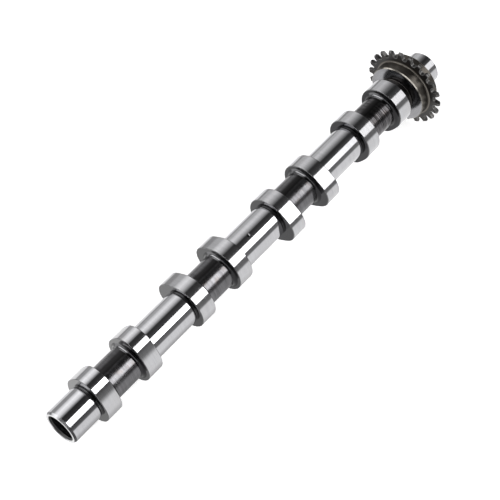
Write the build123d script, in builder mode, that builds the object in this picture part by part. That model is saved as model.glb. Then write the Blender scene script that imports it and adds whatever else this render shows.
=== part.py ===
from build123d import *
import math
import os

# A camshaft for a four-cylinder engine with two valves to each cylinder: one steel piece, with its
# chain wheel on the end. Millimetres. The shaft's axis is the X axis. The origin is the centre of
# the nose face, and +X runs from the nose to the chain wheel. Angles about the axis are counted
# from +Y towards +Z.

# Journals
journal_radius = 12.5
relief_depth = 0.5  # of the groove beside each journal, where the grinding wheel runs out
relief_width = 1.5
journal_chamfer = 0.3
nose_chamfer_length = 1.5
nose_chamfer_depth = 0.87
end_journal_length = 15.7
end_chamfer = 1.0

# Lobes: the outline of one is a base circle and a smaller nose circle, joined by two flanks. A flank is
# an arc of a much wider circle that holds both others and touches each of them from outside.
# Both lobes of a cylinder point the same way, and the four pairs follow a quarter turn apart.
first_lobe_start = 24.1
cylinder_pitch = 88.0
valve_spacing = 37.0
lobe_width = 12.4
lobe_base_radius = 17.1
lobe_nose_radius = 12.5
lobe_flank_radius = 60
lobe_lift = 3.6
lobe_chamfer = 0.4
pair_angles = [90, 0, 180, 270]

# Core of the shaft, left unground between the two lobes of a pair and ahead of the hub
core_depth = 0.15  # below the journals
core_fillet = 2.4
neck_length = 6.8
neck_fillet = 1.5

# Chain wheel, for a roller chain. The gap between two teeth is a seat for one roller, with straight
# flanks up to a narrow land on each tooth.
tooth_count = 22
tooth_angle = 28
chain_pitch = 8.0
roller_seat_radius = 2.525
seat_half_angle = 60
tooth_height = 2.6  # above the pitch circle
tip_land = 2.2
wheel_thickness = 3.0
bevel_width = 1.0
bevel_depth = 1.1

# Hub that carries the teeth
rim_depth = 3.5  # from the floor of a roller seat down to the hub's surface
hub_length = 18.2
hub_chamfer = 0.6
wheel_offset = 7.6  # from the hub's front face to the wheel's
wheel_fillet = 1.4

# Bore in the nose, oil gallery behind it, and the oil hole in the middle journal
nose_wall = 2.5
nose_bore_depth = 18.0
gallery_radius = 3.5
gallery_overrun = 11.2  # past the oil hole
oil_hole_radius = 0.8
oil_hole_mouth_radius = 1.2
oil_hole_mouth_angle = 90
oil_hole_offset = 11.8  # from the start of the middle journal
oil_hole_angle = 100.8

# Radii of the shaft
relief_radius = journal_radius - relief_depth
core_radius = journal_radius - core_depth
nose_bore_radius = journal_radius - nose_wall

# Radii of the chain wheel and its hub
pitch_radius = chain_pitch / 2 / math.sin(math.pi / tooth_count)
tip_radius = pitch_radius + tooth_height
hub_radius = pitch_radius - roller_seat_radius - rim_depth

# Stations along the shaft
lobe_starts = [
    [first_lobe_start + cylinder * cylinder_pitch + valve * valve_spacing for valve in range(2)]
    for cylinder in range(len(pair_angles))
]
last_lobe_end = lobe_starts[-1][1] + lobe_width
hub_start = last_lobe_end + neck_length
hub_end = hub_start + hub_length
shaft_end = hub_end + end_journal_length
wheel_start = hub_start + wheel_offset

# The nose journal, then one journal between each pair of lobes and the next
journal_spans = [(0, first_lobe_start - relief_width)]
for pair, next_pair in zip(lobe_starts, lobe_starts[1:]):
    journal_spans.append((pair[1] + lobe_width + relief_width, next_pair[0] - relief_width))
journal_spans.append((hub_end + relief_width, shaft_end))
middle_journal_start = journal_spans[len(journal_spans) // 2][0]
oil_hole_station = middle_journal_start + oil_hole_offset

# The core between the two lobes of each pair, then the neck between the last lobe and the hub
core_spans = [(pair[0] + lobe_width, pair[1]) for pair in lobe_starts]
core_spans.append((last_lobe_end, hub_start))


# The circular edges of this radius, in order from the nose to the end of the shaft
def rings(builder, radius):
    circles = builder.edges().filter_by(GeomType.CIRCLE)
    return circles.filter_by(lambda edge: math.isclose(edge.radius, radius)).sort_by(Axis.X)


# Where the upper flank of a lobe touches the two circles: on the lines from its own centre, which lies
# on the far side of the axis, through theirs. The base circle's centre is the sketch's origin.
nose_centre = Vector(lobe_base_radius + lobe_lift - lobe_nose_radius, 0)
base_reach = lobe_flank_radius - lobe_base_radius
nose_reach = lobe_flank_radius - lobe_nose_radius
flank_x = (nose_centre.X**2 + base_reach**2 - nose_reach**2) / (2 * nose_centre.X)
flank_centre = Vector(flank_x, -math.sqrt(base_reach**2 - flank_x**2))
base_touch = flank_centre * (-lobe_base_radius / base_reach)
nose_touch = nose_centre + (nose_centre - flank_centre) * (lobe_nose_radius / nose_reach)
flank_middle = flank_centre + (base_touch + nose_touch - flank_centre * 2).normalized() * lobe_flank_radius

# One lobe, standing on the YZ plane with its nose towards +Y
with BuildPart() as lobe:
    with BuildSketch(Plane.YZ):
        with BuildLine():
            ThreePointArc(base_touch, flank_middle, nose_touch)
            mirror(about=Plane.XZ)
            ThreePointArc(nose_touch, nose_centre + Vector(lobe_nose_radius, 0), (nose_touch.X, -nose_touch.Y))
            ThreePointArc(base_touch, (-lobe_base_radius, 0), (base_touch.X, -base_touch.Y))
        make_face()
    extrude(amount=lobe_width)
    chamfer(lobe.faces().filter_by(Axis.X).edges(), length=lobe_chamfer)

# The gap between two teeth, on the +Y axis: the seat lies round the centre of a roller, and the
# flanks run straight from its ends to the corners of the two lands, then on past the tip circle
flank_overrun = 0.2
half_gap_angle = 180 / tooth_count - math.degrees(tip_land / 2 / tip_radius)
land_corner = Vector(tip_radius, 0).rotate(Axis.Z, half_gap_angle)
with BuildSketch() as tooth_gap:
    with BuildLine():
        seat = CenterArc((pitch_radius, 0), roller_seat_radius, 180 - seat_half_angle, 2 * seat_half_angle)
        upper_end = land_corner + (land_corner - seat @ 0) * flank_overrun
        upper_flank = Line(seat @ 0, upper_end)
        lower_flank = Line(seat @ 1, (upper_end.X, -upper_end.Y))
        Line(upper_flank @ 1, lower_flank @ 1)
    make_face()

# The toothed disc, bevelled on both sides of the teeth
with BuildPart() as chain_wheel:
    with BuildSketch(Plane.YZ.offset(wheel_start)):
        Circle(tip_radius)
    extrude(amount=wheel_thickness)
    for side in (0, -1):
        face = chain_wheel.faces().sort_by(Axis.X)[side]
        chamfer(face.edges(), length=bevel_depth, length2=bevel_width, reference=face)
    with BuildSketch(Plane.YZ.offset(wheel_start)):
        with PolarLocations(0, tooth_count, start_angle=tooth_angle + 180 / tooth_count):
            add(tooth_gap.sketch)
    extrude(amount=wheel_thickness, mode=Mode.SUBTRACT)

with BuildPart() as camshaft:
    # The ground bar, with the journals and the unground cores standing slightly above it
    round_spans = [(0, shaft_end, relief_radius)]
    round_spans += [(start, end, journal_radius) for start, end in journal_spans]
    round_spans += [(start, end, core_radius) for start, end in core_spans]
    for start, end, radius in round_spans:
        with BuildSketch(Plane.YZ.offset(start)):
            Circle(radius)
        extrude(amount=end - start)
    chamfer(rings(camshaft, journal_radius)[1:-1], length=journal_chamfer)
    chamfer(rings(camshaft, journal_radius)[-1], length=end_chamfer)
    nose_face = camshaft.faces().sort_by(Axis.X)[0]
    chamfer(nose_face.edges(), length=nose_chamfer_depth, length2=nose_chamfer_length, reference=nose_face)

    # Lobes
    for starts, angle in zip(lobe_starts, pair_angles):
        with Locations(*[Location((start, 0, 0), (angle, 0, 0)) for start in starts]):
            add(lobe.part)

    # Hub and toothed disc
    with BuildSketch(Plane.YZ.offset(hub_start)):
        Circle(hub_radius)
    extrude(amount=hub_length)
    add(chain_wheel.part)

    # Fillets at the foot of the toothed disc, of the lobes on their core sides and of the hub
    fillet(rings(camshaft, hub_radius)[1:-1], radius=wheel_fillet)
    fillet(rings(camshaft, core_radius)[:-1], radius=core_fillet)
    fillet(rings(camshaft, core_radius)[-1], radius=neck_fillet)
    hub_rims = rings(camshaft, hub_radius)
    chamfer([hub_rims[0], hub_rims[-1]], length=hub_chamfer)

    # Bore in the nose, with the oil gallery behind it
    with Locations(Plane(origin=(0, 0, 0), z_dir=(-1, 0, 0))):
        CounterBoreHole(
            radius=gallery_radius,
            counter_bore_radius=nose_bore_radius,
            counter_bore_depth=nose_bore_depth,
            depth=oil_hole_station + gallery_overrun,
        )

    # Oil hole, from the middle journal's surface into the gallery
    outward = Vector(0, 1, 0).rotate(Axis.X, oil_hole_angle)
    oil_hole_mouth = Vector(oil_hole_station, 0, 0) + outward * journal_radius
    with Locations(Plane(origin=oil_hole_mouth, z_dir=outward)):
        CounterSinkHole(
            radius=oil_hole_radius,
            counter_sink_radius=oil_hole_mouth_radius,
            depth=journal_radius,
            counter_sink_angle=oil_hole_mouth_angle,
        )

camshaft.part.label = "camshaft"
os.makedirs("parts", exist_ok=True)
export_step(camshaft.part, "parts/camshaft.step")
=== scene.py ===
import math

import bpy
import numpy as np
from mathutils import Matrix, Vector


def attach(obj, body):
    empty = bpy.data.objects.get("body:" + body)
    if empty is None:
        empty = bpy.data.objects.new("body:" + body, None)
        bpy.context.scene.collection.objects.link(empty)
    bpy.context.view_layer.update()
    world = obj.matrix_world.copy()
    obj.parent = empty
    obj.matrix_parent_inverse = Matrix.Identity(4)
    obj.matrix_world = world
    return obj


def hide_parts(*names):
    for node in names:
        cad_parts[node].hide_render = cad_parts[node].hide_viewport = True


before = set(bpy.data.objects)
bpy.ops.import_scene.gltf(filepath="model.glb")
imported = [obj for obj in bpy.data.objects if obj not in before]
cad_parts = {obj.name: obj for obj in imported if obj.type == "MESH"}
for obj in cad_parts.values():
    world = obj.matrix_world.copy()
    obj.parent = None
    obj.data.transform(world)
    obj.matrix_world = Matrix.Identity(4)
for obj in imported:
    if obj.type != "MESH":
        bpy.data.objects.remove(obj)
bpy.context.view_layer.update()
mm = 0.001
print("frame loaded")

view = {
    "place": (-218.35, -325.89, 723.60),  # mm
    "heading": 39.33,  # degrees from +X towards +Y
    "dip": 55.03,  # degrees below level
    "lens": 97.17,  # mm on a 36 mm sensor
    "sensor": 36.0,
    "clip": (0.01, 50.0),  # m
}


def addCamera(v):
    heading, dip = math.radians(v["heading"]), math.radians(v["dip"])
    forward = Vector((math.cos(dip) * math.cos(heading), math.cos(dip) * math.sin(heading), -math.sin(dip)))
    right = forward.cross(Vector((0, 0, 1))).normalized()
    up = right.cross(forward)
    turn = Matrix((right, up, -forward)).transposed().to_4x4()
    data = bpy.data.cameras.new("studioCamera")
    data.sensor_width = v["sensor"]
    data.lens = v["lens"]
    data.clip_start, data.clip_end = v["clip"]
    camera = bpy.data.objects.new("studioCamera", data)
    bpy.context.scene.collection.objects.link(camera)
    camera.matrix_world = Matrix.Translation(Vector(v["place"]) * mm) @ turn
    bpy.context.scene.camera = camera


addCamera(view)
bpy.context.scene.view_settings.view_transform = "Standard"
print("camera placed")


def addNode(tree, kind, inputs=None, **settings):
    node = tree.nodes.new("ShaderNode" + kind)
    for name, value in settings.items():
        setattr(node, name, value)
    for key, value in (inputs or {}).items():
        if isinstance(value, bpy.types.NodeSocket):
            tree.links.new(value, node.inputs[key])
        else:
            node.inputs[key].default_value = value
    return node


def calc(tree, operation, *values, clamp=False):
    return addNode(tree, "Math", dict(enumerate(values)), operation=operation, use_clamp=clamp).outputs[0]


# A value carried from one range to another, held at its ends
def spread(tree, value, fromLow, fromHigh, toLow=0.0, toHigh=1.0, smooth=False):
    kind = "SMOOTHSTEP" if smooth else "LINEAR"
    return addNode(tree, "MapRange", {0: value, 1: fromLow, 2: fromHigh, 3: toLow, 4: toHigh},
                   clamp=True, interpolation_type=kind).outputs[0]


# 1 between the inner two of four edges, falling to 0 at the outer two
def window(tree, value, edges, smooth=False):
    low, lowFull, highFull, high = edges
    return calc(tree, "MULTIPLY", spread(tree, value, low, lowFull, smooth=smooth),
                spread(tree, value, highFull, high, 1.0, 0.0, smooth=smooth))


def mixColours(tree, factor, first, second, blend="MIX"):
    inputs = {0: factor}
    for key, value in ((6, first), (7, second)):
        inputs[key] = (*value, 1.0) if isinstance(value, tuple) else value
    return addNode(tree, "Mix", inputs, data_type="RGBA", blend_type=blend).outputs[2]


def addRamp(tree, factor, stops):
    node = addNode(tree, "ValToRGB", {0: factor})
    elements = node.color_ramp.elements
    elements.remove(elements[1])
    for index, (place, level) in enumerate(stops):
        element = elements[0] if index == 0 else elements.new(place)
        element.position = place
        element.color = (*level, 1.0) if isinstance(level, tuple) else (level, level, level, 1.0)
    return node.outputs[0]


def makeGroup(name, inputs, outputs):
    tree = bpy.data.node_groups.new(name, "ShaderNodeTree")
    kinds = {"vector": "NodeSocketVector", "value": "NodeSocketFloat", "colour": "NodeSocketColor"}
    for direction, sockets in (("INPUT", inputs), ("OUTPUT", outputs)):
        for label, kind in sockets.items():
            tree.interface.new_socket(name=label, in_out=direction, socket_type=kinds[kind])
    return tree, tree.nodes.new("NodeGroupInput").outputs, tree.nodes.new("NodeGroupOutput").inputs


def useGroup(tree, group, inputs):
    return addNode(tree, "Group", inputs, node_tree=group).outputs


studio = {
    # brightness round the shaft's axis, by degrees from +Y over the top to -Y, as each stretch of the
    # shaft mirrors it: the nose, a third of the way along, and the far end. First comes the floor up to
    # its horizon, then a grey wall, a soft box that is brightest near its middle, the dark room
    # overhead, and the floor again
    "noseBands": [(-12.5, 0.95), (-11.5, 0.41), (16, 0.36), (26, 0.92), (43, 1.45), (61, 1.07), (79, 0.06),
                  (83, 0.025), (160, 0.07), (175, 0.17), (180, 0.85)],
    "thirdBands": [(-12.5, 0.90), (-11.5, 0.55), (15, 0.56), (27, 0.92), (43, 1.21), (61, 0.79), (80, 0.04),
                   (150, 0.12), (175, 0.24), (180, 0.8)],
    "farBands": [(-12.5, 0.75), (-11.5, 0.64), (20, 0.66), (32, 0.74), (62, 0.18), (81, 0.035), (89, 0.03),
                 (150, 0.18), (174, 0.2), (180, 0.68)],
    # what a mirror that leans back towards the nose sees, and the share of it by that lean: the pale
    # wall that brightens the journals beside the lobes, with darkness on either side of it
    "backBands": [(-12, 0.30), (-11, 3.4), (44, 4.2), (62, 4.0), (84, 0.3), (105, 0.25), (135, 0.6),
                  (170, 0.7), (180, 1.5)],
    "backLevels": [(0.21, 0.05), (0.27, 0.36), (0.52, 1.0), (0.57, 1.0), (0.64, 0.1)],
    # a lamp beyond the nose, seen only by fillets and chamfers
    "endLamp": (4.0, 4.0, 4.0),
    "endSlants": (-0.87, -0.84, -0.76, -0.71),
    "endBands": (50.0, 75.0, 158.0, 172.0),
    "aheadLevel": (0.12, 0.12, 0.12),  # the dark room beyond the far end
    "aheadSlants": (0.62, 0.72),
    "slants": (0.276, 0.366, 0.597),  # how far along the shaft a mirrored ray leans, for the three bands
    "backSlants": (0.06, -0.04),  # where the view back towards the nose takes over
    # the long strip lamp: its edges in degrees, and its strength by slant
    "stripStart": 114.2,
    "stripEnds": (146.7, 152.0),  # at the nose, then at the far end
    "stripSoftness": 0.7,
    "stripLevels": [(0.12, 0.03), (0.17, 4.6), (0.42, 4.2), (0.48, 3.7), (0.53, 1.3)],
    "rampTop": 5.0,  # the level that the ramps hold as 1
    "diffuseShare": 0.62,  # the share of the light that diffuse surfaces get
    "floorSize": 2.5,  # m, from the middle to each side
    "floorSlope": 0.04136,  # the shaft lies on its first lobe and on its teeth, so the floor tilts
    "floorTouch": (24.1, -17.1),  # mm along and above the axis, where the floor meets the first lobe
    "floorColour": 0.95,
    "farColour": 0.38,
    "farEdge": (0.12, 0.16),  # m towards +Y, where the floor's light falls off
    "cameraLift": 0.75,
    # how mirrors see the floor: its level, and the shade under the shaft, which lightens along it
    "mirrorLevel": 0.95,
    "underStations": (0.10, 0.28),
    "underShades": (0.45, 1.1),
    "underFront": (-0.045, -0.006),
    "underBack": (0.004, 0.018),
    "openAhead": (-0.004, 0.006),  # ahead of the nose nothing shades it
}


# What a ray meets, by its angle round the shaft and by how far it leans along it
def buildBands(tree, s):
    place = addNode(tree, "TexCoord").outputs["Generated"]
    split = addNode(tree, "SeparateXYZ", {0: place}).outputs
    slant = split["X"]
    angle = calc(tree, "ARCTAN2", split["Z"], split["Y"])
    degrees = calc(tree, "MULTIPLY", angle, 180 / math.pi)
    share = calc(tree, "MULTIPLY_ADD", degrees, 1 / 360, 0.5)
    top = s["rampTop"]
    nose, third, far, back = [addRamp(tree, share, [(0.5 + at / 360, level / top) for at, level in s[name]])
                              for name in ("noseBands", "thirdBands", "farBands", "backBands")]
    near, middle, distant = s["slants"]
    bands = mixColours(tree, spread(tree, slant, near, middle), nose, third)
    bands = mixColours(tree, spread(tree, slant, middle, distant), bands, far)
    dark = tuple(level / top for level in s["aheadLevel"])
    bands = mixColours(tree, spread(tree, slant, *s["aheadSlants"]), bands, dark)
    level = addRamp(tree, calc(tree, "MULTIPLY", slant, -1.0), s["backLevels"])
    back = mixColours(tree, 1.0, back, level, "MULTIPLY")
    bands = mixColours(tree, spread(tree, slant, *s["backSlants"]), bands, back)

    start, soft = s["stripStart"], s["stripSoftness"]
    first, last = s["stripEnds"]
    past = calc(tree, "MULTIPLY_ADD", spread(tree, slant, near, distant), first - last, degrees)
    inside = calc(tree, "MULTIPLY", spread(tree, degrees, start - soft, start + soft),
                  spread(tree, past, first - soft, first + soft, 1.0, 0.0))
    strip = addRamp(tree, slant, [(at, level / top) for at, level in s["stripLevels"]])
    bands = mixColours(tree, inside, bands, strip)
    lit = calc(tree, "MULTIPLY", window(tree, degrees, s["endBands"]), window(tree, slant, s["endSlants"]))
    return mixColours(tree, lit, bands, tuple(level / top for level in s["endLamp"]))


def buildWorld(s):
    world = bpy.data.worlds.new("studioWorld")
    bpy.context.scene.world = world
    world.use_nodes = True
    tree = world.node_tree
    tree.nodes.clear()
    rays = addNode(tree, "LightPath").outputs
    top = s["rampTop"]
    strength = calc(tree, "MULTIPLY_ADD", rays["Is Diffuse Ray"], top * (s["diffuseShare"] - 1), top)
    light = addNode(tree, "Background", {0: buildBands(tree, s), 1: strength})
    white = addNode(tree, "Background", {0: (1, 1, 1, 1), 1: 1.0})
    mix = addNode(tree, "MixShader", {0: rays["Is Camera Ray"], 1: light.outputs[0], 2: white.outputs[0]})
    addNode(tree, "OutputWorld", {0: mix.outputs[0]})


def buildFloor(s):
    half = s["floorSize"]
    touchX, touchZ = s["floorTouch"]
    corners = np.array([(-half, -half), (half, -half), (half, half), (-half, half)])
    height = touchZ * mm - (corners[:, 0] - touchX * mm) * s["floorSlope"]
    mesh = bpy.data.meshes.new("studioFloor")
    mesh.from_pydata(np.column_stack([corners, height]).tolist(), [], [(0, 1, 2, 3)])
    floor = bpy.data.objects.new("studioFloor", mesh)
    bpy.context.scene.collection.objects.link(floor)
    material = bpy.data.materials.new("floorWhite")
    material.use_nodes = True
    tree = material.node_tree
    tree.nodes.clear()
    rays = addNode(tree, "LightPath").outputs
    place = addNode(tree, "TexCoord").outputs["Object"]
    split = addNode(tree, "SeparateXYZ", {0: place}).outputs
    far = spread(tree, split["Y"], *s["farEdge"], 1.0, s["farColour"])
    clear = calc(tree, "MAXIMUM", spread(tree, split["Y"], *s["underFront"], 1.0, 0.0, smooth=True),
                 spread(tree, split["Y"], *s["underBack"], smooth=True))
    clear = calc(tree, "MAXIMUM", clear, spread(tree, split["X"], *s["openAhead"], 1.0, 0.0))
    shade = spread(tree, split["X"], *s["underStations"], *s["underShades"])
    seen = calc(tree, "MULTIPLY", far, spread(tree, clear, 0.0, 1.0, shade, 1.0))
    mirrored = calc(tree, "MAXIMUM", rays["Is Glossy Ray"], rays["Is Transmission Ray"])
    diffuse = addNode(tree, "BsdfDiffuse", {0: spread(tree, mirrored, 0.0, 1.0, s["floorColour"], 0.0)})
    lift = calc(tree, "MULTIPLY_ADD", calc(tree, "MULTIPLY", mirrored, seen), s["mirrorLevel"],
                calc(tree, "MULTIPLY", rays["Is Camera Ray"], s["cameraLift"]))
    glow = addNode(tree, "Emission", {0: (1, 1, 1, 1), 1: lift})
    both = addNode(tree, "AddShader", {0: diffuse.outputs[0], 1: glow.outputs[0]})
    addNode(tree, "OutputMaterial", {0: both.outputs[0]})
    mesh.materials.append(material)


buildWorld(studio)
buildFloor(studio)
print("studio built")

shaft = {
    "journalRadius": 12.5,
    "coreRadius": 12.35,
    "reliefRadius": 12.0,
    "reliefWidth": 1.5,
    "reliefArc": 1.782,  # the relief is a hollow, deepest a little before the lobe
    "reliefLow": 0.4,
    "journalChamfer": 0.12,
    "noseChamfer": (1.5, 0.87),
    "endChamfer": 1.0,
    "endCap": 1.0,  # the last ring, closed on a point
    "coreFillet": 2.4,
    "neckFillet": 1.5,
    # where the shaft's last ring and the hub's first one lie, out from the neck's fillet, and the same
    # behind the hub, out from the relief
    "frontJoin": (1.0, 1.3),
    "backJoin": (1.0, 1.5),
    "hubStart": 344.3,
    "hubEnd": 362.5,
    "end": 378.2,
}
lobe = {
    "firstStart": 24.1,
    "cylinderPitch": 88.0,
    "valveSpacing": 37.0,
    "width": 12.4,
    "baseRadius": 17.1,
    "noseRadius": 12.5,
    "lift": 3.6,
    "flankRadius": 60.0,
    "chamfer": 0.4,
    "chamferSteps": 4,
    "angles": [90, 0, 180, 270],
    "lead": 10,  # mm before a pair that already belong to it
}
wheel = {
    "teeth": 22,
    "toothAngle": 28,
    "pitch": 8.0,
    "seatRadius": 2.525,
    "seatHalfAngle": 60,
    "seatPoints": 5,
    "flankPoints": 3,
    "landPoints": 3,
    "toothHeight": 2.6,
    "tipLand": 2.2,
    "thickness": 3.0,
    "bevelWidth": 1.0,
    "bevelDepth": 1.1,
    "bevelBlend": 0.05,
    "edge": 0.12,
    "start": 351.9,
    "hubRadius": 22.08,
    "hubChamfer": 0.6,
    "fillet": 1.4,
    "filletSteps": 10,
    "footHighlightSteps": ((7,), (4,)),  # painted highlight: the step of each fillet given the paler finish, which shows as a thin bright line
}
bore = {
    "radius": 10.0,
    "depth": 18.0,
    "mouthChamfer": 0.3,
    "mouthDepth": 2.0,
    "galleryRadius": 3.5,
    "galleryEnd": 186.0,
    "oilJournal": 2,  # counted from 0 at the nose
    "oilStation": 174.8,
    "oilAngle": 100.8,
    "oilRadius": 0.8,
    "oilMouthRadius": 1.2,
    "blendShares": (0.35, 0.65, 0.9, 1.0),  # the way from the square border to the round mouth
}
pairs = len(lobe["angles"])
columns = 176  # round the plain shaft; the hub and teeth have twice as many
patchHalf = 8  # columns each side of the oil hole
startAngle = wheel["toothAngle"] + 180 / wheel["teeth"]
pitchRadius = wheel["pitch"] / 2 / math.sin(math.pi / wheel["teeth"])
finishes = ["journal", "journalEdge", "lobeTop", "lobeEdge", "lobeSide", "core", "coreFillet", "neck",
            "relief", "reliefArc", "hub", "hubEdge", "hubRim", "footHighlight", "teeth", "noseFace",
            "noseChamfer", "boreMouth", "boreWall"]
wearWidth = 0.4
wearTurn = 10  # degrees, the least corner that wears
unworn = ("core", "neck", "relief")  # runs that end in hollow corners, where nothing rubs
sharpAngle = 25  # degrees


# A profile: points (station, radius, share of the lobe's outline), with the finish of each run
class Profile:
    def __init__(self, station, radius):
        self.points = [(station, radius, 0.0)]
        self.finish = []
        self.patchRows = {}  # the first row of each square left out round the oil hole

    def addPoint(self, station, radius, share, finish):
        self.points.append((station, radius, share))
        self.finish.append(finish)

    # A straight run, with extra rings close to each end that keep its shading flat and bound the wear
    def line(self, station, radius, finish, share=None, margin=0.12):
        x0, r0, w0 = self.points[-1]
        w1 = w0 if share is None else share
        length = math.hypot(station - x0, radius - r0)
        steps = [1.0]
        if length > 3 * wearWidth and finish not in unworn:
            steps = [margin / length, wearWidth / length, 1 - wearWidth / length, 1 - margin / length, 1.0]
        elif length > 5 * margin:
            steps = [margin / length, 1 - margin / length, 1.0]
        for t in steps:
            self.addPoint(x0 + (station - x0) * t, r0 + (radius - r0) * t, w0 + (w1 - w0) * t, finish)

    # A quarter turn that leaves along one direction and arrives along the other. The chosen steps have
    # a finish of their own
    def quarter(self, station, radius, finish, axialFirst, steps=7, ownFinish=None, ownSteps=()):
        x0, r0, w0 = self.points[-1]
        for step in range(1, steps + 1):
            a = math.pi / 2 * step / steps
            along, out = (math.sin(a), 1 - math.cos(a)) if axialFirst else (1 - math.cos(a), math.sin(a))
            name = ownFinish if step in ownSteps else finish
            self.addPoint(x0 + (station - x0) * along, r0 + (radius - r0) * out, w0, name)

    # A hollow as far as a station: an arc whose lowest point lies a little before the end
    def hollow(self, station, radius, arc, before, finish, steps=9):
        x0 = self.points[-1][0]
        for step in range(1, steps + 1):
            x = x0 + (station - x0) * step / steps
            self.addPoint(x, radius + arc - math.sqrt(arc**2 - (x - station + before) ** 2), 0.0, finish)

    # Wear at each point: full where the profile turns outwards by the wear turn or more, and fading to
    # nothing one wear width along the profile on each side of that
    def wear(self):
        at = np.array(self.points)[:, :2]
        step = np.diff(at, axis=0)
        length = np.hypot(step[:, 0], step[:, 1])
        cross = step[:-1, 0] * step[1:, 1] - step[:-1, 1] * step[1:, 0]
        turn = np.degrees(np.arcsin(np.clip(cross / np.maximum(length[:-1] * length[1:], 1e-9), -1, 1)))
        along = np.concatenate([[0], np.cumsum(length)])
        corners = along[1:-1][turn < -wearTurn]
        if len(corners) == 0:
            return np.zeros(len(at))
        return np.clip(1 - np.abs(along[:, None] - corners[None, :]).min(1) / wearWidth, 0, 1)


# From the blind end of the oil gallery out through the nose bore, and round to the nose journal
def addBoreAndNose(p):
    s, b = shaft, bore
    spacing = 2 * math.pi / columns * b["galleryRadius"]
    gallery = [b["oilStation"] + k * spacing for k in range(patchHalf, -patchHalf - 1, -1)]
    p.line(gallery[0], b["galleryRadius"], "boreWall")
    p.patchRows["gallery"] = len(p.points) - 1
    for station in gallery[1:]:
        p.addPoint(station, b["galleryRadius"], 0.0, "boreWall")
    p.line(b["depth"], b["galleryRadius"], "boreWall")
    p.line(b["depth"], b["radius"], "boreWall")
    p.line(b["mouthDepth"], b["radius"], "boreWall")
    p.line(b["mouthChamfer"], b["radius"], "boreMouth")
    p.line(0, b["radius"] + b["mouthChamfer"], "noseFace")
    length, depth = s["noseChamfer"]
    p.line(0, s["journalRadius"] - depth, "noseFace")
    p.line(length, s["journalRadius"], "noseChamfer")


# The journal before a pair of lobes, as far as the first lobe: relief, journal, chamfer and relief
def addJournal(p, cylinder, start):
    s = shaft
    chamfer = s["journalChamfer"]
    if cylinder > 0:
        lastLobe = start - lobe["cylinderPitch"] + lobe["valveSpacing"]
        journalStart = lastLobe + lobe["width"] + s["reliefWidth"]
        p.line(journalStart, s["reliefRadius"], "relief")
        p.line(journalStart, s["journalRadius"] - chamfer, "relief")
        p.line(journalStart + chamfer, s["journalRadius"], "journalEdge")
    if cylinder == bore["oilJournal"]:
        spacing = 2 * math.pi / columns * s["journalRadius"]
        rows = [bore["oilStation"] + k * spacing for k in range(-patchHalf, patchHalf + 1)]
        p.line(rows[0], s["journalRadius"], "journal")
        p.patchRows["journal"] = len(p.points) - 1
        for station in rows[1:]:
            p.addPoint(station, s["journalRadius"], 0.0, "journal")
    journalEnd = start - s["reliefWidth"]
    p.line(journalEnd - chamfer, s["journalRadius"], "journal")
    p.line(journalEnd, s["journalRadius"] - chamfer, "journalEdge")
    p.hollow(start, s["reliefRadius"], s["reliefArc"], s["reliefLow"], "reliefArc")


def addLobe(p, start):
    end = start + lobe["width"]
    chamfer, steps = lobe["chamfer"], lobe["chamferSteps"]
    p.line(start, lobe["baseRadius"] - chamfer, "lobeSide", share=1.0)
    p.quarter(start + chamfer, lobe["baseRadius"], "lobeEdge", False, steps)
    p.line(end - chamfer, lobe["baseRadius"], "lobeTop")
    p.quarter(end, lobe["baseRadius"] - chamfer, "lobeEdge", True, steps)
    return end


# A lobe's back side and the fillet that runs from it down to a core
def addBackFillet(p, end):
    s = shaft
    p.line(end, s["coreRadius"] + s["coreFillet"], "lobeSide", share=0.0)
    p.quarter(end + s["coreFillet"], s["coreRadius"], "coreFillet", False)


def buildShaftProfile():
    s = shaft
    p = Profile(bore["galleryEnd"], bore["galleryRadius"])
    addBoreAndNose(p)
    for cylinder in range(pairs):
        start = lobe["firstStart"] + cylinder * lobe["cylinderPitch"]
        addJournal(p, cylinder, start)
        addBackFillet(p, addLobe(p, start))
        start += lobe["valveSpacing"]
        p.line(start - s["coreFillet"], s["coreRadius"], "core")
        p.quarter(start, s["coreRadius"] + s["coreFillet"], "coreFillet", True)
        end = addLobe(p, start)
        if cylinder < pairs - 1:
            p.line(end, s["reliefRadius"], "lobeSide", share=0.0)
    addBackFillet(p, end)
    neckTop = s["coreRadius"] + s["neckFillet"]
    p.line(s["hubStart"] - s["neckFillet"], s["coreRadius"], "neck")
    p.quarter(s["hubStart"], neckTop, "neck", True)
    p.line(s["hubStart"], neckTop + s["frontJoin"][0], "hub")
    return p


def lobeAngleOf(station):
    cylinder = int((station - lobe["firstStart"] + lobe["lead"]) // lobe["cylinderPitch"])
    return lobe["angles"][min(max(cylinder, 0), pairs - 1)]


# How far the lobe's outline stands above its base circle, by angle from its nose: the nose circle,
# a wide flank circle that holds both smaller ones and touches each inside, then the base circle
def lobeRise(degrees):
    base, nose, flank = lobe["baseRadius"], lobe["noseRadius"], lobe["flankRadius"]
    offset = base + lobe["lift"] - nose
    turn = np.abs((np.radians(degrees) + math.pi) % (2 * math.pi) - math.pi)
    centreX = (offset**2 + (flank - base) ** 2 - (flank - nose) ** 2) / (2 * offset)
    centreY = -math.sqrt((flank - base) ** 2 - centreX**2)
    baseEnd = math.atan2(-centreY, -centreX)
    reach = math.hypot(offset - centreX, centreY)
    noseEnd = math.atan2(-nose * centreY / reach, offset + nose * (offset - centreX) / reach)
    onNose = offset * np.cos(turn) + np.sqrt(np.maximum(nose**2 - (offset * np.sin(turn)) ** 2, 0))
    along = centreX * np.cos(turn) + centreY * np.sin(turn)
    onFlank = along + np.sqrt(along**2 - (flank - base) ** 2 + flank**2)
    return np.where(turn < noseEnd, onNose, np.where(turn < baseEnd, onFlank, base)) - base


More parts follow.
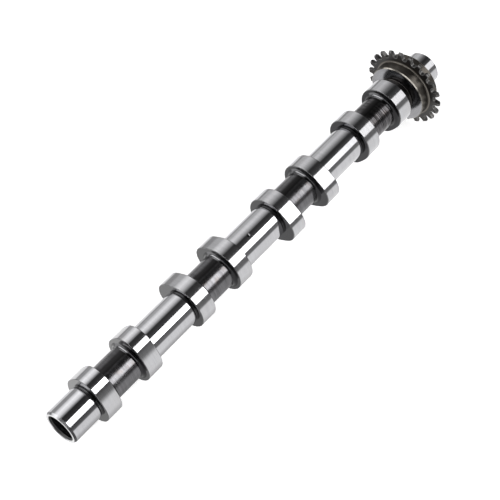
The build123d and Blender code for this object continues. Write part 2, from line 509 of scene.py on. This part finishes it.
# The points of each ring of a profile, with the lobe's outline mixed in by its share
def profileRings(profile, count):
    stations, radii, shares = np.array(profile.points).T
    degrees = startAngle + 360 / count * np.arange(count)
    rises = np.array([lobeRise(degrees - lobeAngleOf(x)) * w for x, w in zip(stations, shares)])
    reach = radii[:, None] + rises
    turn = np.radians(degrees)[None, :]
    x = np.repeat(stations[:, None], count, 1)
    return np.stack([x, reach * np.cos(turn), reach * np.sin(turn)], 2)


# The outline of the teeth out to a limit radius: for each half gap, the roller seat, the straight
# flank as far as the limit, and the land; then the same mirrored, all the way round
def toothOutline(limit):
    w = wheel
    tip = pitchRadius + w["toothHeight"]
    seatTurn = np.radians(180 - np.linspace(0, w["seatHalfAngle"], w["seatPoints"]))
    seat = np.stack([pitchRadius + w["seatRadius"] * np.cos(seatTurn), w["seatRadius"] * np.sin(seatTurn)], 1)
    cornerTurn = math.pi / w["teeth"] - w["tipLand"] / 2 / tip
    corner = np.array([tip * math.cos(cornerTurn), tip * math.sin(cornerTurn)])
    run = corner - seat[-1]
    a, b, c = run @ run, 2 * run @ seat[-1], seat[-1] @ seat[-1] - limit**2
    reach = (-b + math.sqrt(b * b - 4 * a * c)) / (2 * a)
    flank = seat[-1] + run * np.linspace(0, min(reach, 1.0), w["flankPoints"])[1:, None]
    flankTurn = math.atan2(flank[-1, 1], flank[-1, 0])
    landTurn = np.linspace(flankTurn, math.pi / w["teeth"], w["landPoints"])[1:]
    land = np.hypot(*flank[-1]) * np.stack([np.cos(landTurn), np.sin(landTurn)], 1)
    half = np.concatenate([seat, flank, land])
    radius = np.hypot(half[:, 0], half[:, 1])
    turn = np.arctan2(half[:, 1], half[:, 0])
    onePitch = np.concatenate([turn, 2 * math.pi / w["teeth"] - turn[::-1][1:-1]])
    oneRadius = np.concatenate([radius, radius[::-1][1:-1]])
    gaps = np.arange(w["teeth"])[:, None] * 2 * math.pi / w["teeth"]
    allTurns = (onePitch[None, :] + gaps).ravel() + math.radians(startAngle)
    allRadii = np.tile(oneRadius, w["teeth"])
    return np.stack([allRadii * np.cos(allTurns), allRadii * np.sin(allTurns)], 1)


# A ring of the teeth, cut off at a limit radius and drawn in by an inset
def toothRing(station, limit, inset):
    outline = toothOutline(limit)
    radius = np.hypot(outline[:, 0], outline[:, 1])
    outline = outline * ((radius - inset) / radius)[:, None]
    return np.column_stack([np.full(len(outline), station), outline])


def buildHubRings():
    w = wheel
    hr, hc, f = w["hubRadius"], w["hubChamfer"], w["fillet"]
    front = Profile(shaft["hubStart"], shaft["coreRadius"] + shaft["neckFillet"] + shaft["frontJoin"][1])
    front.line(shaft["hubStart"], hr - hc, "hub")
    front.line(shaft["hubStart"] + hc, hr, "hubEdge")
    front.line(w["start"] - f, hr, "hubRim")
    front.quarter(w["start"], hr + f, "hubRim", True, w["filletSteps"], "footHighlight", w["footHighlightSteps"][0])

    tip = pitchRadius + w["toothHeight"]
    foot = tip - w["bevelDepth"]
    startX, endX = w["start"], w["start"] + w["thickness"]
    edge, blend = w["edge"], w["bevelBlend"]
    slope = w["bevelDepth"] / w["bevelWidth"]
    # station, limit radius, inset and wear of each ring across the teeth
    band = [
        (startX, foot, wearWidth, 0.0),
        (startX, foot, edge, 0.8),
        (startX + edge, foot + edge * slope, 0.0, 1.0),
        (startX + w["bevelWidth"] - blend, tip - blend * slope, 0.0, 0.6),
        (startX + w["bevelWidth"] + blend, tip, 0.0, 0.6),
        (endX - w["bevelWidth"] - blend, tip, 0.0, 0.6),
        (endX - w["bevelWidth"] + blend, tip - blend * slope, 0.0, 0.6),
        (endX - edge, foot + edge * slope, 0.0, 1.0),
        (endX, foot, edge, 0.8),
        (endX, foot, wearWidth, 0.0),
    ]

    back = Profile(endX, hr + f)
    back.quarter(endX + f, hr, "hubRim", False, w["filletSteps"], "footHighlight", w["footHighlightSteps"][1])
    back.line(shaft["hubEnd"] - hc, hr, "hubRim")
    back.line(shaft["hubEnd"], hr - hc, "hubEdge")
    back.line(shaft["hubEnd"], shaft["reliefRadius"] + shaft["backJoin"][1], "hub")

    teeth = [toothRing(station, limit, inset) for station, limit, inset, _ in band]
    rings = [*profileRings(front, 2 * columns), *teeth, *profileRings(back, 2 * columns)]
    finish = front.finish + ["teeth"] * (len(band) + 1) + back.finish
    return np.array(rings), finish, np.concatenate([front.wear(), [row[3] for row in band], back.wear()])


def buildTailProfile():
    s = shaft
    p = Profile(s["hubEnd"], s["reliefRadius"] + s["backJoin"][0])
    start = s["hubEnd"] + s["reliefWidth"]
    p.line(s["hubEnd"], s["reliefRadius"], "hub")
    p.line(start, s["reliefRadius"], "relief")
    p.line(start, s["journalRadius"] - s["journalChamfer"], "relief")
    p.line(start + s["journalChamfer"], s["journalRadius"], "journalEdge")
    p.line(s["end"] - s["endChamfer"], s["journalRadius"], "journal")
    p.line(s["end"], s["journalRadius"] - s["endChamfer"], "relief")
    p.line(s["end"], s["endCap"], "noseFace")
    return p


# Quads between each ring and the next, as vertex numbers
def ringFaces(first, rows, count):
    row = np.arange(rows - 1)[:, None] * count
    col = np.arange(count)[None, :]
    after = (col + 1) % count
    a, b = first + row + col, first + row + after
    return np.stack([a, b, b + count, a + count], 2)


# Triangles between a ring and one with twice its points
def doubledFaces(coarse, fine, count, flip):
    j = np.arange(count)
    a, b = coarse + j, coarse + (j + 1) % count
    p, q, r = fine + 2 * j, fine + 2 * j + 1, fine + (2 * j + 2) % (2 * count)
    faces = np.concatenate([np.stack([a, q, p], 1), np.stack([a, b, q], 1), np.stack([b, r, q], 1)])
    return faces[:, ::-1] if flip else faces


# The oil hole, drilled from the journal into the gallery: rings of points that run from the border of
# the square left out of the journal down to the border of the one left out of the gallery
def buildOilHole(vertices, patchRows, middle, first):
    b = bore
    outward = math.radians(b["oilAngle"])
    outDirection = np.array([0, math.cos(outward), math.sin(outward)])
    acrossDirection = np.array([0, -math.sin(outward), math.cos(outward)])
    centre = np.array([b["oilStation"], 0, 0])

    # the border of a left-out square, as steps of row and column round it
    side = 2 * patchHalf
    steps = np.arange(side)
    borderRow = np.concatenate([np.zeros(side), steps, np.full(side, side), side - steps]).astype(int)
    borderCol = np.concatenate([steps, np.full(side, side), side - steps, np.zeros(side)]).astype(int)
    borderCol = (middle - patchHalf + borderCol) % columns
    outerBorder, innerBorder = [(patchRows[name] + borderRow) * columns + borderCol
                                for name in ("journal", "gallery")]

    def turnOf(border):
        at = vertices[border] - centre
        return np.arctan2(at @ acrossDirection, at[:, 0])

    # a ring of the hole, which lies on a round wall or is flat
    def drilled(turn, radius, height, flat=False):
        across = radius * np.sin(turn)
        out = np.full(len(turn), height) if flat else np.sqrt(height**2 - across**2)
        return (centre + (radius * np.cos(turn))[:, None] * [1, 0, 0]
                + across[:, None] * acrossDirection + out[:, None] * outDirection)

    # rings that pass from the square border to the round mouth, kept on their wall's radius
    def blendRings(border, radius, wall):
        mouth = drilled(turnOf(border), radius, wall)
        rings = []
        for t in b["blendShares"]:
            at = vertices[border] * (1 - t) + mouth * t
            at[:, 1:] *= (wall / np.hypot(at[:, 1], at[:, 2]))[:, None]
            rings.append(at)
        return rings

    outerRings = blendRings(outerBorder, b["oilMouthRadius"], shaft["journalRadius"])
    innerRings = blendRings(innerBorder, b["oilRadius"], b["galleryRadius"])
    sink = b["oilMouthRadius"] - b["oilRadius"]
    outerTurn, innerTurn = turnOf(outerBorder), turnOf(innerBorder)
    wallRing = drilled(outerTurn, b["oilRadius"], shaft["journalRadius"] - sink, flat=True)
    # the gallery's border runs the other way along the shaft, so its rings are put in the outer's order
    order = np.array([np.argmin(np.abs(np.angle(np.exp(1j * (innerTurn - t))))) for t in outerTurn])
    rings = outerRings + [wallRing] + [ring[order] for ring in innerRings[::-1]]

    count = len(outerBorder)
    rows = [first + k * count + np.arange(count) for k in range(len(rings))]
    rows = [outerBorder, *rows, innerBorder[order]]
    quads = [np.stack([a, np.roll(a, -1), np.roll(b, -1), b], 1) for a, b in zip(rows, rows[1:])]
    onJournal = len(b["blendShares"])
    names = ["journal"] * onJournal + ["boreWall"] * (len(quads) - onJournal)
    return np.concatenate(rings), quads, [np.full(count, finishes.index(name)) for name in names]


def numbersOf(names, repeats):
    return np.repeat(np.array([finishes.index(name) for name in names])[:, None], repeats, 1)


def buildCamshaft():
    shaftProfile = buildShaftProfile()
    shaftRings = profileRings(shaftProfile, columns)
    hubRings, hubFinish, hubWear = buildHubRings()
    tail = buildTailProfile()
    tailRings = profileRings(tail, columns)
    vertices = np.concatenate([rings.reshape(-1, 3) for rings in (shaftRings, hubRings, tailRings)])
    hubFirst = shaftRings.size // 3
    tailFirst = hubFirst + hubRings.size // 3

    # the squares of faces round the oil hole are left out of its two walls
    shaftQuads = ringFaces(0, len(shaftRings), columns)
    keep = np.ones(shaftQuads.shape[:2], bool)
    middle = round((bore["oilAngle"] - startAngle) / (360 / columns))
    patchColumns = np.arange(middle - patchHalf, middle + patchHalf) % columns
    for row in shaftProfile.patchRows.values():
        keep[row:row + 2 * patchHalf][:, patchColumns] = False
    hubQuads = ringFaces(hubFirst, len(hubRings), 2 * columns)
    tailQuads = ringFaces(tailFirst, len(tailRings), columns)
    oilVertices, oilQuads, oilFinish = buildOilHole(vertices, shaftProfile.patchRows, middle, len(vertices))
    quads = [shaftQuads[keep], hubQuads.reshape(-1, 4), tailQuads.reshape(-1, 4), *oilQuads]
    quadFinish = [numbersOf(shaftProfile.finish, columns)[keep], numbersOf(hubFinish, 2 * columns).ravel(),
                  numbersOf(tail.finish, columns).ravel(), *oilFinish]

    # the two ends of the run of rings are closed on a point
    poles = np.array([[bore["galleryEnd"], 0, 0], [shaft["end"], 0, 0]])
    firstPole = len(vertices) + len(oilVertices)
    j = np.arange(columns)
    after = (j + 1) % columns
    lastRow = tailFirst + (len(tailRings) - 1) * columns
    triangles = [
        np.stack([np.full(columns, firstPole), after, j], 1),
        np.stack([np.full(columns, firstPole + 1), lastRow + j, lastRow + after], 1),
        doubledFaces((len(shaftRings) - 1) * columns, hubFirst, columns, False),
        doubledFaces(tailFirst, hubFirst + (len(hubRings) - 1) * 2 * columns, columns, True),
    ]
    names = ("boreWall", "noseFace", "hub", "hub")
    triangleFinish = [np.full(len(part), finishes.index(name)) for part, name in zip(triangles, names)]
    wear = np.concatenate([np.repeat(shaftProfile.wear(), columns), np.repeat(hubWear, 2 * columns),
                           np.repeat(tail.wear(), columns), np.zeros(len(oilVertices) + len(poles))])
    return (np.concatenate([vertices, oilVertices, poles]) * mm, np.concatenate(quads),
            np.concatenate(triangles), np.concatenate(quadFinish + triangleFinish), wear)


def makeMesh(name, vertices, quads, triangles, faceFinish, wear):
    mesh = bpy.data.meshes.new(name)
    mesh.vertices.add(len(vertices))
    mesh.vertices.foreach_set("co", vertices.astype(np.float32).ravel())
    loops = np.concatenate([quads.ravel(), triangles.ravel()])
    sizes = np.concatenate([np.full(len(quads), 4), np.full(len(triangles), 3)])
    mesh.loops.add(len(loops))
    mesh.loops.foreach_set("vertex_index", loops.astype(np.int32))
    mesh.polygons.add(len(sizes))
    starts = np.concatenate([[0], np.cumsum(sizes)[:-1]])
    mesh.polygons.foreach_set("loop_start", starts.astype(np.int32))
    mesh.polygons.foreach_set("material_index", faceFinish.astype(np.int32))
    mesh.attributes.new("edge", "FLOAT", "POINT").data.foreach_set("value", wear.astype(np.float32))
    mesh.update(calc_edges=True)
    mesh.validate()
    return mesh


vertices, quads, triangles, faceFinish, wear = buildCamshaft()
camMesh = makeMesh("camshaft_steel", vertices, quads, triangles, faceFinish, wear)
camshaft = bpy.data.objects.new("camshaft_steel", camMesh)
bpy.context.scene.collection.objects.link(camshaft)
camMesh.shade_smooth()
camMesh.set_sharp_from_angle(angle=math.radians(sharpAngle))
print("mesh:", len(vertices), "points,", len(quads) * 2 + len(triangles), "triangles")

marks = {
    # for each kind of line: its share of the fineness, its wander round the shaft, the noise's detail
    "lines": {"Lines": (1.0, 60.0, 3.0), "Bands": (0.16, 25.0, 2.0)},
    "lineRoughness": 0.6,
    "lineContrast": (0.3, 0.7),
    # for each kind of stain: its share of the scale, the detail, and the noise from none to full
    "stains": {"Clouds": (1.0, 3.0, 0.35, 0.7), "Patches": (2.6, 5.0, 0.48, 0.68)},
    "stainRoughness": 0.55,
    "wearDetail": 4.0,
    "wearBreak": (0.3, 0.62),
    "wearPower": 1.6,
}


# Lines left by a tool that turns about the shaft: rings along it, or circles on a flat side
def buildMachineLines(m):
    tree, given, out = makeGroup("machineLines",
                                 {"Position": "vector", "Facing": "value", "Fineness": "value"},
                                 {label: "value" for label in m["lines"]})
    split = addNode(tree, "SeparateXYZ", {0: given["Position"]}).outputs
    sideways = addNode(tree, "CombineXYZ", {1: split["Y"], 2: split["Z"]}).outputs[0]
    radius = addNode(tree, "VectorMath", {0: sideways}, operation="LENGTH").outputs["Value"]
    across = addNode(tree, "Mix", {0: given["Facing"], 2: split["X"], 3: radius}).outputs[0]
    for label, (share, wander, detail) in m["lines"].items():
        fine = calc(tree, "MULTIPLY", calc(tree, "MULTIPLY", across, given["Fineness"]), share)
        at = addNode(tree, "CombineXYZ", {0: fine, 1: calc(tree, "MULTIPLY", split["Y"], wander),
                                          2: calc(tree, "MULTIPLY", split["Z"], wander)}).outputs[0]
        noise = addNode(tree, "TexNoise", {"Vector": at, "Scale": 1.0, "Detail": detail,
                                           "Roughness": m["lineRoughness"]})
        tree.links.new(spread(tree, noise.outputs[0], *m["lineContrast"]), out[label])
    return tree


# Soft clouds and patches for oil, heat and handling marks
def buildStains(m):
    tree, given, out = makeGroup("stains", {"Position": "vector", "Scale": "value"},
                                 {label: "value" for label in m["stains"]})
    for label, (share, detail, low, high) in m["stains"].items():
        noise = addNode(tree, "TexNoise", {"Vector": given["Position"], "Detail": detail,
                                           "Roughness": m["stainRoughness"],
                                           "Scale": calc(tree, "MULTIPLY", given["Scale"], share)})
        tree.links.new(spread(tree, noise.outputs[0], low, high, smooth=True), out[label])
    return tree


# Rubbed edges: the mesh says where they are, and noise breaks them up
def buildEdgeWear(m):
    tree, given, out = makeGroup("edgeWear", {"Position": "vector", "Scale": "value"}, {"Wear": "value"})
    edge = addNode(tree, "Attribute", attribute_name="edge").outputs["Fac"]
    noise = addNode(tree, "TexNoise", {"Vector": given["Position"], "Scale": given["Scale"],
                                       "Detail": m["wearDetail"]})
    broken = spread(tree, noise.outputs[0], *m["wearBreak"])
    wear = calc(tree, "MULTIPLY", calc(tree, "POWER", edge, m["wearPower"]), broken, clamp=True)
    tree.links.new(wear, out["Wear"])
    return tree


machineLines, stains, edgeWear = buildMachineLines(marks), buildStains(marks), buildEdgeWear(marks)

# What every ground finish has unless its own look says otherwise
plainSteel = {
    "roughSpread": 0.10,  # added where stains and tool lines are full
    "lineShare": 0.2,  # how dark the tool lines are
    "depth": 0.3,  # the strength of their bump
    "fineness": 3000.0,  # higher puts them closer together
    "facing": 0.0,  # 0 for rings along the shaft, 1 for circles on a flat side
    "stainShare": 0.4,
    "stainScale": 110.0,  # higher makes smaller clouds
    "wornShare": 0.5,
}
looks = {
    "journal": {
        "colour": (0.625, 0.625, 0.645), "stain": (0.55, 0.545, 0.56), "worn": (0.66, 0.66, 0.67),
        "rough": 0.075, "roughSpread": 0.05, "lineShare": 0.07, "depth": 0.10, "fineness": 3500.0,
        "stainShare": 0.35, "stainScale": 60.0, "wornShare": 0.3,
    },
    "journalEdge": {
        "colour": (0.42, 0.42, 0.43), "stain": (0.25, 0.25, 0.26), "worn": (0.6, 0.6, 0.61),
        "rough": 0.20, "fineness": 3500.0, "stainShare": 0.5,
    },
    "lobeTop": {
        "colour": (0.62, 0.62, 0.638), "stain": (0.53, 0.51, 0.51), "worn": (0.68, 0.68, 0.69),
        "rough": 0.085, "roughSpread": 0.06, "lineShare": 0.10, "depth": 0.14, "stainShare": 0.25,
        "stainScale": 80.0,
    },
    "lobeEdge": {
        "colour": (0.22, 0.22, 0.225), "stain": (0.16, 0.155, 0.155), "worn": (0.34, 0.34, 0.345),
        "rough": 0.15, "roughSpread": 0.08, "lineShare": 0.15, "depth": 0.2,
    },
    # painted sheen: a clear coat that fades from the nose to the chain wheel
    "lobeSide": {
        "colour": (0.035, 0.035, 0.038), "stain": (0.022, 0.022, 0.024), "worn": (0.3, 0.3, 0.31),
        "rough": 0.10, "roughSpread": 0.06, "depth": 0.10, "fineness": 2600.0, "facing": 1.0,
        "stainScale": 90.0, "wornShare": 0.12, "sheenCoat": (1.0, 0.2),
    },
    # painted shade: the neck is coloured near-black for the shade between the last lobe and the hub
    "neck": {
        "colour": (0.05, 0.047, 0.045), "stain": (0.025, 0.023, 0.022), "worn": (0.3, 0.3, 0.3),
        "rough": 0.20, "lineShare": 0.7, "depth": 0.5, "fineness": 1300.0, "stainShare": 0.7,
        "wornShare": 0.6,
    },
    # painted shade: the grooves, and the far end's chamfer that shares this finish, are coloured near-black
    # for the shade in the grooves
    "relief": {
        "colour": (0.05, 0.05, 0.052), "stain": (0.03, 0.028, 0.026), "worn": (0.3, 0.3, 0.3),
        "rough": 0.28, "lineShare": 0.4, "depth": 0.5, "fineness": 4000.0, "stainShare": 0.7,
        "stainScale": 120.0, "wornShare": 0.7,
    },
    "reliefArc": {
        "colour": (0.19, 0.19, 0.195), "stain": (0.12, 0.12, 0.12), "worn": (0.5, 0.5, 0.5),
        "rough": 0.12, "roughSpread": 0.08, "depth": 0.2, "fineness": 4000.0, "stainShare": 0.5,
        "stainScale": 120.0, "wornShare": 0.0,
    },
    "hub": {
        "colour": (0.37, 0.37, 0.385), "stain": (0.28, 0.27, 0.27), "worn": (0.6, 0.59, 0.58),
        "rough": 0.18, "roughSpread": 0.05, "lineShare": 0.15, "depth": 0.06, "facing": 1.0,
        "stainShare": 0.3, "stainScale": 70.0, "wornShare": 0.3,
    },
    "hubEdge": {
        "colour": (0.13, 0.124, 0.112), "stain": (0.09, 0.085, 0.075), "worn": (0.42, 0.39, 0.35),
        "rough": 0.12, "wornShare": 0.6,
    },
    "hubRim": {
        "colour": (0.125, 0.114, 0.101), "stain": (0.095, 0.086, 0.076), "worn": (0.42, 0.39, 0.35),
        "rough": 0.33, "roughSpread": 0.04, "lineShare": 0.30, "depth": 0.15, "stainShare": 0.3,
        "stainScale": 60.0,
    },
    # painted highlight: paler and glossier than the rim, on one step of each fillet
    "footHighlight": {
        "colour": (0.30, 0.28, 0.25), "stain": (0.2, 0.185, 0.165), "worn": (0.42, 0.39, 0.35),
        "rough": 0.10, "roughSpread": 0.06, "lineShare": 0.1, "depth": 0.2, "wornShare": 0.0,
    },
    "teeth": {
        "colour": (0.056, 0.054, 0.054), "stain": (0.085, 0.081, 0.077), "worn": (0.27, 0.266, 0.262),
        "rough": 0.28, "roughSpread": 0.12, "depth": 0.35, "fineness": 2200.0, "facing": 1.0,
        "stainShare": 0.6, "stainScale": 140.0, "wornShare": 0.85,
    },
    "noseFace": {
        "colour": (0.90, 0.90, 0.905), "stain": (0.80, 0.80, 0.81), "worn": (0.8, 0.8, 0.8),
        "rough": 0.11, "roughSpread": 0.07, "lineShare": 0.10, "facing": 1.0, "stainScale": 90.0,
    },
    # painted shade: the nose chamfer is coloured darker on its -Y side
    "noseChamfer": {
        "colour": (0.30, 0.30, 0.31), "stain": (0.18, 0.18, 0.185), "worn": (0.45, 0.45, 0.45),
        "rough": 0.13, "roughSpread": 0.08, "lineShare": 0.3, "fineness": 3500.0, "stainShare": 0.6,
        "wornShare": 0.4, "sideShadeColour": (0.06, 0.06, 0.062), "shadedSideEdges": (-0.0078, -0.0100),
    },
    # painted light in part: paler than the bore wall beyond, for the light that falls in at the mouth; its
    # roughness is real
    "boreMouth": {
        "colour": (0.55, 0.55, 0.56), "stain": (0.3, 0.3, 0.3), "worn": (0.6, 0.6, 0.6),
        "rough": 0.46, "lineShare": 0.3, "depth": 0.5, "fineness": 1500.0, "stainShare": 0.6,
        "stainScale": 90.0,
    },
    "boreWall": {
        "colour": (0.42, 0.42, 0.43), "stain": (0.25, 0.25, 0.25), "worn": (0.5, 0.5, 0.5),
        "rough": 0.15, "lineShare": 0.35, "depth": 0.6, "fineness": 1500.0, "stainShare": 0.6,
        "stainScale": 90.0,
    },
}

# What all these finishes share
shared = {
    "wearScale": 900.0,
    "lineHeight": 0.00002,  # m, for the bump
    "paleShare": 0.4,  # pale lines stand out less than dark ones
    "sheenStations": (0.02, 0.34),  # m; painted sheen: the lobe sides' clear coat is full at the nose and thin at the chain wheel, so their reflections fade along the shaft
    "sheenRough": 0.10,
}


def startMaterial(name):
    material = bpy.data.materials.new("steel_" + name)
    material.use_nodes = True
    tree = material.node_tree
    shader = tree.nodes["Principled BSDF"]
    shader.inputs["Metallic"].default_value = 1.0
    return material, tree, shader, addNode(tree, "TexCoord").outputs["Object"]


def coordinate(tree, place, axis):
    return addNode(tree, "SeparateXYZ", {0: place}).outputs[axis]


def finishMaterial(material, tree, shader, colour, rough, depth, distance, height):
    bump = addNode(tree, "Bump", {"Strength": depth, "Distance": distance, "Height": height})
    tree.links.new(colour, shader.inputs["Base Color"])
    tree.links.new(rough, shader.inputs["Roughness"])
    tree.links.new(bump.outputs[0], shader.inputs["Normal"])
    return material


def machinedSteel(name):
    look = {**plainSteel, **looks[name]}
    material, tree, shader, place = startMaterial(name)
    lines = useGroup(tree, machineLines,
                     {"Position": place, "Facing": look["facing"], "Fineness": look["fineness"]})
    clouds = useGroup(tree, stains, {"Position": place, "Scale": look["stainScale"]})["Clouds"]
    wear = useGroup(tree, edgeWear, {"Position": place, "Scale": shared["wearScale"]})["Wear"]
    cloud = calc(tree, "MULTIPLY", clouds, look["stainShare"])
    colour = mixColours(tree, cloud, look["colour"], look["stain"])
    both = calc(tree, "MULTIPLY_ADD", lines["Lines"], 0.5, calc(tree, "MULTIPLY", lines["Bands"], 0.5))
    pale = 1.0 + look["lineShare"] * shared["paleShare"]
    shade = spread(tree, both, 0.0, 1.0, 1.0 - look["lineShare"], pale)
    colour = mixColours(tree, 1.0, colour, shade, "MULTIPLY")
    # painted sheen: a clear coat that fades along the shaft
    if "sheenCoat" in look:
        sheen = spread(tree, coordinate(tree, place, "X"), *shared["sheenStations"], *look["sheenCoat"])
        tree.links.new(sheen, shader.inputs["Coat Weight"])
        shader.inputs["Coat Roughness"].default_value = shared["sheenRough"]
    # painted shade on the -Y side
    if "sideShadeColour" in look:
        shadedSideMask = spread(tree, coordinate(tree, place, "Y"), *look["shadedSideEdges"])
        colour = mixColours(tree, shadedSideMask, colour, look["sideShadeColour"])
    colour = mixColours(tree, calc(tree, "MULTIPLY", wear, look["wornShare"]), colour, look["worn"])
    uneven = calc(tree, "MULTIPLY_ADD", clouds, 0.5, calc(tree, "MULTIPLY", both, 0.5))
    rough = spread(tree, uneven, 0.0, 1.0, look["rough"], look["rough"] + look["roughSpread"])
    return finishMaterial(material, tree, shader, colour, rough, look["depth"], shared["lineHeight"],
                          lines["Lines"])


core = {
    "colour": (0.202, 0.199, 0.208),
    "reflectionTint": (0.175, 0.15, 0.14),
    "reflectionTintShare": 0.5,
    # degrees from +Y towards +Z, where a mark begins, is full, starts to thin and ends
    "reflectionTintSpan": (96.0, 112.0, 132.0, 152.0),  # painted reflection tint: patchy warm colour where the strip lamp's reflection falls on every core
    "paintedShadeColour": (0.022, 0.0215, 0.022),  # painted shade: near-black on the same side of every core
    "paintedShadeSpan": (60.0, 77.0, 91.0, 99.0),
    # the fillets: a painted highlight colour inside a span of angles, painted shade outside it
    "fillet": (0.19, 0.19, 0.196),
    "filletRough": -0.09,
    "filletHighlightSpan": (34.0, 44.0, 90.0, 98.0),
    "filletShadeColour": (0.04, 0.04, 0.042),  # painted shade outside that span
    "ragged": 8.0,  # degrees that the borders wander
    "raggedScale": 90.0,
    "raggedDetail": 4.0,
    "stainScale": 70.0,
    "shades": {"Bands": (0.75, 1.10), "Lines": (0.80, 1.10)},
    "rough": 0.20,
    "roughSpread": 0.08,
    "fineness": 1700.0,
    "depth": 0.4,
    "lineHeight": 0.00003,  # m, for the bump
    "markedFrom": (0.285, 0.30),  # m; the last core keeps deeper tool marks
    "markedRough": -0.04,
    "markedColour": (0.84, 0.82, 0.82),
    "grooves": (0.3, 0.62, 0.25, 1.12),  # the noise, then the shade it gives
}


spanEdges = ("Low start", "Low full", "High start", "High end")


# How far inside a span of angles round the shaft a point lies, with a ragged border
def buildSpanMask(look):
    tree, given, out = makeGroup("spanMask", {"Position": "vector", "Ragged": "value",
                                              **{label: "value" for label in spanEdges}}, {"Mask": "value"})
    split = addNode(tree, "SeparateXYZ", {0: given["Position"]}).outputs
    turn = calc(tree, "MULTIPLY", calc(tree, "ARCTAN2", split["Z"], split["Y"]), 180 / math.pi)
    noise = addNode(tree, "TexNoise", {"Vector": given["Position"], "Scale": look["raggedScale"],
                                       "Detail": look["raggedDetail"]}).outputs[0]
    moved = calc(tree, "MULTIPLY_ADD", calc(tree, "SUBTRACT", noise, 0.5), given["Ragged"], turn)
    tree.links.new(window(tree, moved, [given[label] for label in spanEdges], smooth=True), out["Mask"])
    return tree


spanMask = buildSpanMask(core)


def spanOf(tree, place, look, span):
    return useGroup(tree, spanMask, {"Position": place, "Ragged": look["ragged"],
                                     **dict(zip(spanEdges, look[span]))})["Mask"]


def unground(name, look):
    material, tree, shader, place = startMaterial(name)
    lines = useGroup(tree, machineLines, {"Position": place, "Facing": 0.0, "Fineness": look["fineness"]})
    stain = useGroup(tree, stains, {"Position": place, "Scale": look["stainScale"]})
    # a patchy warm tint painted where the strip lamp's reflection falls
    reflectionTint = calc(tree, "MULTIPLY", calc(tree, "MULTIPLY", stain["Patches"], look["reflectionTintShare"]),
                 spanOf(tree, place, look, "reflectionTintSpan"))
    colour = mixColours(tree, reflectionTint, look["colour"], look["reflectionTint"])
    for label, shades in look["shades"].items():
        colour = mixColours(tree, 1.0, colour, spread(tree, lines[label], 0.0, 1.0, *shades), "MULTIPLY")
    rough = spread(tree, stain["Clouds"], 0.0, 1.0, look["rough"], look["rough"] + look["roughSpread"])
    if name == "core":
        marked = spread(tree, coordinate(tree, place, "X"), *look["markedFrom"])
        grooves = spread(tree, lines["Lines"], *look["grooves"])
        for tint in (look["markedColour"], grooves):
            colour = mixColours(tree, marked, colour, mixColours(tree, 1.0, colour, tint, "MULTIPLY"))
        rough = calc(tree, "MULTIPLY_ADD", marked, look["markedRough"], rough)
        # painted shade: near-black on one side of every core
        colour = mixColours(tree, spanOf(tree, place, look, "paintedShadeSpan"), colour, look["paintedShadeColour"])
    else:
        rough = calc(tree, "ADD", rough, look["filletRough"])
        # painted highlight inside the span, painted shade outside it
        bright = mixColours(tree, reflectionTint, look["fillet"], look["colour"])
        colour = mixColours(tree, spanOf(tree, place, look, "filletHighlightSpan"), look["filletShadeColour"], bright)
    return finishMaterial(material, tree, shader, colour, rough, look["depth"], look["lineHeight"],
                          lines["Lines"])


for name in finishes:
    camMesh.materials.append(machinedSteel(name) if name in looks else unground(name, core))
print("materials made:", len(camMesh.materials))

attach(camshaft, "root")
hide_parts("camshaft")
